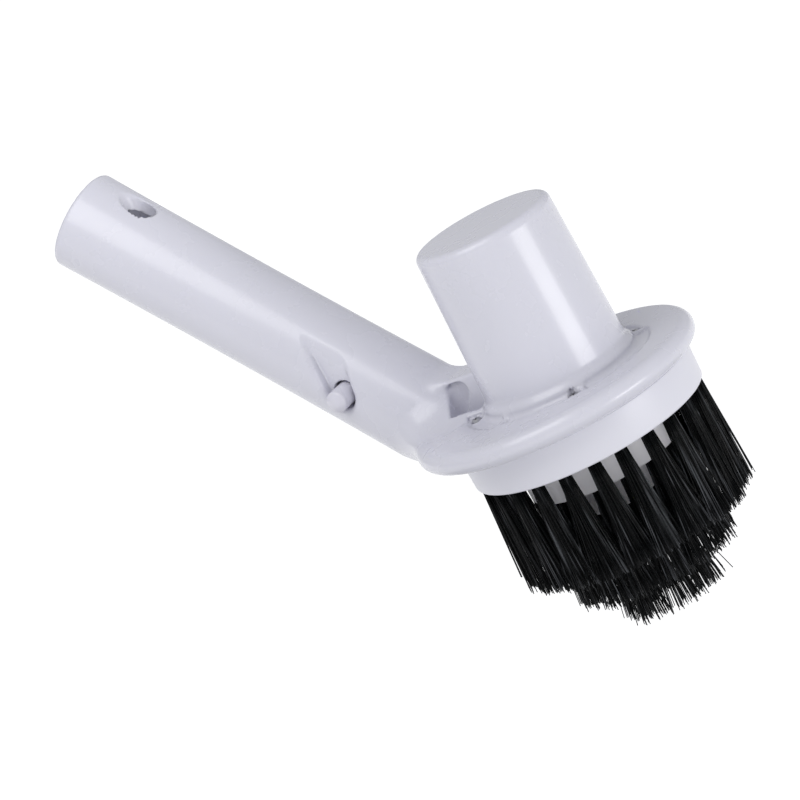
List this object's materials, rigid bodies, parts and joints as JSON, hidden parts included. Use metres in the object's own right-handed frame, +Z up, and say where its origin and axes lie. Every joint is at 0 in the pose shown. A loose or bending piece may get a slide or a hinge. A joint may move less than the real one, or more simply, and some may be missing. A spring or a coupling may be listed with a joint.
{
  "type": "pool wall brush",
  "caption": "Round pool wall brush with stepped bristle tufts, a hand knob and an angled tubular pole handle with spring buttons.",
  "frame": {"origin": "centre of the handle's open end, where the pole goes on", "axes": "+Z up along the knob and brush axis, away from the bristles; +X from the handle's open end towards the brush head; the object is symmetric about the XZ plane"},
  "size_m": [0.1678, 0.0818, 0.1654],
  "materials": {
    "white_plastic": "semi-gloss moulded white with a faint cool tint",
    "block_plastic": "satin moulded white",
    "bristle_nylon": "black extruded filament",
    "button_plastic": "semi-gloss white",
    "clip_steel": "rolled spring strip",
    "screw_steel": "stainless"
  },
  "bodies": {
    "brush": {"upper_body": "white_plastic", "brush_block": "block_plastic", "clip_bend": "clip_steel", "screw_1": "screw_steel", "screw_2": "screw_steel", "screw_3": "screw_steel", "screw_4": "screw_steel", "tuft_outer_01": "bristle_nylon", "tuft_outer_02": "bristle_nylon", "tuft_outer_03": "bristle_nylon", "tuft_outer_04": "bristle_nylon", "tuft_outer_05": "bristle_nylon", "tuft_outer_06": "bristle_nylon", "tuft_outer_07": "bristle_nylon", "tuft_outer_08": "bristle_nylon", "tuft_outer_09": "bristle_nylon", "tuft_outer_10": "bristle_nylon", "tuft_outer_11": "bristle_nylon", "tuft_outer_12": "bristle_nylon", "tuft_outer_13": "bristle_nylon", "tuft_outer_14": "bristle_nylon", "tuft_outer_15": "bristle_nylon", "tuft_outer_16": "bristle_nylon", "tuft_outer_17": "bristle_nylon", "tuft_outer_18": "bristle_nylon", "tuft_outer_19": "bristle_nylon", "tuft_outer_20": "bristle_nylon", "tuft_outer_21": "bristle_nylon", "tuft_outer_22": "bristle_nylon", "tuft_outer_23": "bristle_nylon", "tuft_outer_24": "bristle_nylon", "tuft_middle_01": "bristle_nylon", "tuft_middle_02": "bristle_nylon", "tuft_middle_03": "bristle_nylon", "tuft_middle_04": "bristle_nylon", "tuft_middle_05": "bristle_nylon", "tuft_middle_06": "bristle_nylon", "tuft_middle_07": "bristle_nylon", "tuft_middle_08": "bristle_nylon", "tuft_middle_09": "bristle_nylon", "tuft_middle_10": "bristle_nylon", "tuft_middle_11": "bristle_nylon", "tuft_middle_12": "bristle_nylon", "tuft_middle_13": "bristle_nylon", "tuft_middle_14": "bristle_nylon", "tuft_middle_15": "bristle_nylon", "tuft_inner_01": "bristle_nylon", "tuft_inner_02": "bristle_nylon", "tuft_inner_03": "bristle_nylon", "tuft_inner_04": "bristle_nylon", "tuft_inner_05": "bristle_nylon", "tuft_inner_06": "bristle_nylon"},
    "clip_left": {"clip_leg_left": "clip_steel", "button_left": "button_plastic"},
    "clip_right": {"clip_leg_right": "clip_steel", "button_right": "button_plastic"}
  },
  "joints": [
    {"name": "button_left_press", "type": "hinge", "parent": "brush", "child": "clip_left", "pos_m": [0.02884, -0.00515, -0.03203], "axis": [0.7431, 0, 0.6691], "range_deg": [0, 4.5], "stiffness_Nm_per_rad": 2},
    {"name": "button_right_press", "type": "hinge", "parent": "brush", "child": "clip_right", "pos_m": [0.02884, 0.00515, -0.03203], "axis": [-0.7431, 0, -0.6691], "range_deg": [0, 4.5], "stiffness_Nm_per_rad": 2}
  ]
}
